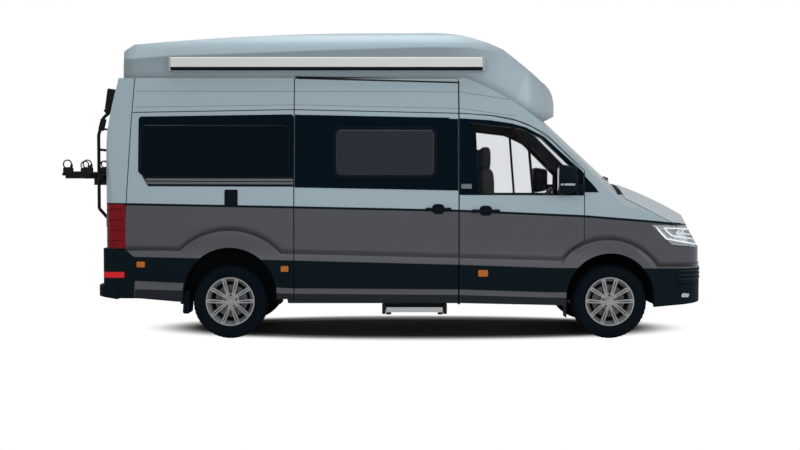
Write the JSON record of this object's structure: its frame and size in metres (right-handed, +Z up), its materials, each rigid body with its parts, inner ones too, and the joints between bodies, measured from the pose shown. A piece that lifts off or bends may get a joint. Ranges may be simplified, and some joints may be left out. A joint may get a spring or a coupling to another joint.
{
  "type": "camper van",
  "caption": "High-roof panel van converted into a camper, with sliding side door, cab and rear doors, steered front wheels, awning, entry step and folding cycle carrier.",
  "frame": {"origin": "on the ground under the middle of the overall bounding box", "axes": "+X forward, +Y to the vehicle's left, +Z up"},
  "size_m": [6.289, 2.5, 2.987],
  "materials": {
    "paint": "silver-blue metallic",
    "roof_paint": "silver-blue gel coat",
    "black_plastic": "grained",
    "body_glass": "tinted",
    "screen_glass": "clear",
    "lamp_clear": "clear lens",
    "lamp_red": "red lens",
    "alloy": "silver",
    "chrome": "bright",
    "tyre": "black",
    "awning_white": "white",
    "seat_cloth": "woven",
    "dash_plastic": "grained",
    "cast_metal": "dull",
    "floor_metal": "underseal",
    "steel_black": "satin black",
    "rubber_black": "matt",
    "step_metal": "ribbed"
  },
  "bodies": {
    "body": {"awning_case": "awning_white", "bumper_apron": "black_plastic", "cab_seats": "seat_cloth", "cab_shell": "paint", "cowl_panel": "black_plastic", "dashboard": "dash_plastic", "engine_block": "cast_metal", "floor_pan": "floor_metal", "front_bumper": "paint", "front_subframe": "cast_metal", "front_wings": "paint", "grille": "black_plastic", "grille_bars": "chrome", "headlamps": "lamp_clear", "high_roof": "roof_paint", "mud_flaps": "rubber_black", "rear_axle": "cast_metal", "rear_bumper": "black_plastic", "rear_frame": "paint", "side_wall_left": "paint", "side_wall_right": "paint", "side_windows": "body_glass", "sliding_door": "paint", "steering_wheel": "dash_plastic", "step_housing": "steel_black", "tail_lamps": "lamp_red", "wheel_housings": "floor_metal", "windscreen": "screen_glass"},
    "knuckle_left": {"knuckle_left": "cast_metal"},
    "knuckle_right": {"knuckle_right": "cast_metal"},
    "wheel_front_left": {"rim_front_left": "alloy", "tyre_front_left": "tyre"},
    "wheel_front_right": {"rim_front_right": "alloy", "tyre_front_right": "tyre"},
    "wheel_rear_left": {"rim_rear_left": "alloy", "tyre_rear_left": "tyre"},
    "wheel_rear_right": {"rim_rear_right": "alloy", "tyre_rear_right": "tyre"},
    "cab_door_left": {"cab_door_left": "paint", "cab_glass_left": "screen_glass", "mirror_left": "black_plastic"},
    "cab_door_right": {"cab_door_right": "paint", "cab_glass_right": "screen_glass", "mirror_right": "black_plastic"},
    "rear_door_left": {"rear_door_left": "paint", "rear_glass_left": "body_glass"},
    "rear_door_right": {"rear_door_right": "paint", "rear_glass_right": "body_glass", "carrier_frame": "steel_black"},
    "carrier_platform": {"carrier_platform": "steel_black"},
    "bonnet": {"bonnet": "paint"},
    "entry_step": {"entry_step": "step_metal"}
  },
  "joints": [
    {"name": "steer_left", "type": "hinge", "parent": "body", "child": "knuckle_left", "pos_m": [2.1445, 0.815, 0.357], "axis": [0, 0, 1], "range_deg": [-35, 35]},
    {"name": "steer_right", "type": "hinge", "parent": "body", "child": "knuckle_right", "pos_m": [2.1445, -0.815, 0.357], "axis": [0, 0, 1], "range_deg": [-35, 35]},
    {"name": "spin_front_left", "type": "hinge", "parent": "knuckle_left", "child": "wheel_front_left", "pos_m": [2.1445, 0.86, 0.357], "axis": [0, 1, 0], "continuous": true},
    {"name": "spin_front_right", "type": "hinge", "parent": "knuckle_right", "child": "wheel_front_right", "pos_m": [2.1445, -0.86, 0.357], "axis": [0, 1, 0], "continuous": true},
    {"name": "spin_rear_left", "type": "hinge", "parent": "body", "child": "wheel_rear_left", "pos_m": [-1.4955, 0.86, 0.357], "axis": [0, 1, 0], "continuous": true},
    {"name": "spin_rear_right", "type": "hinge", "parent": "body", "child": "wheel_rear_right", "pos_m": [-1.4955, -0.86, 0.357], "axis": [0, 1, 0], "continuous": true},
    {"name": "cab_door_left_hinge", "type": "hinge", "parent": "body", "child": "cab_door_left", "pos_m": [1.8915, 1.022, 1.2], "axis": [0, 0, -1], "range_deg": [0, 70]},
    {"name": "cab_door_right_hinge", "type": "hinge", "parent": "body", "child": "cab_door_right", "pos_m": [1.8915, -1.022, 1.2], "axis": [0, 0, 1], "range_deg": [0, 70]},
    {"name": "rear_door_left_hinge", "type": "hinge", "parent": "body", "child": "rear_door_left", "pos_m": [-2.7035, 0.796, 1.3], "axis": [0, 0, -1], "range_deg": [0, 90]},
    {"name": "rear_door_right_hinge", "type": "hinge", "parent": "body", "child": "rear_door_right", "pos_m": [-2.7035, -0.796, 1.3], "axis": [0, 0, 1], "range_deg": [0, 90]},
    {"name": "bonnet_hinge", "type": "hinge", "parent": "body", "child": "bonnet", "pos_m": [2.3145, 0, 1.486], "axis": [0, -1, 0], "range_deg": [0, 55]},
    {"name": "carrier_fold", "type": "hinge", "parent": "rear_door_right", "child": "carrier_platform", "pos_m": [-2.8695, -0.42, 1.56], "axis": [0, 1, 0], "range_deg": [0, 85]},
    {"name": "entry_step_slide", "type": "slide", "parent": "body", "child": "entry_step", "axis": [0, -1, 0], "range_m": [0, 0.25]}
  ],
  "couplings": [
    {"joint": "steer_right", "follows": "steer_left", "ratio": 1}
  ]
}
